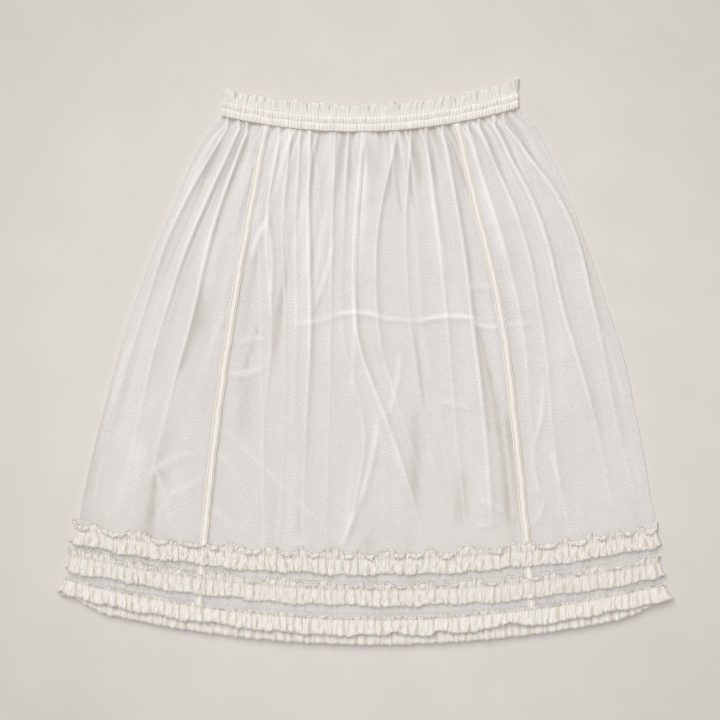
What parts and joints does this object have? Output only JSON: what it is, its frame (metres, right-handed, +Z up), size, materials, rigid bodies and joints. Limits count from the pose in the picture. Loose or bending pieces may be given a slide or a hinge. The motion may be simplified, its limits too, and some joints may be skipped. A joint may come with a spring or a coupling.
{
  "type": "tiered ruffle skirt",
  "caption": "Sheer net skirt laid flat: gored and gathered, with a shirred waistband, taped front seams and gathered lace ruffles round the hem.",
  "frame": {"origin": "on the flat underside of the back, in the middle of the skirt, where it rests on the surface", "axes": "+Z up from the surface through the layers, +Y towards the waist, +X to the right as seen from above"},
  "size_m": [0.6866, 0.6285, 0.0086],
  "materials": {
    "net": "sheer fine net, ivory white, soft",
    "seam_tape": "woven cotton tape, cream, two rows of stitching",
    "shirred_band": "doubled net, densely gathered over elastic, cream white",
    "ruffle_lace": "gathered cotton lace, cream, with picot edges"
  },
  "bodies": {
    "root": {"front_centre": "net", "gore_left": "net", "gore_right": "net", "tape_left": "seam_tape", "tape_right": "seam_tape", "waistband": "shirred_band", "tier_upper": "ruffle_lace", "tier_middle": "ruffle_lace", "tier_lower": "ruffle_lace"}
  },
  "joints": []
}
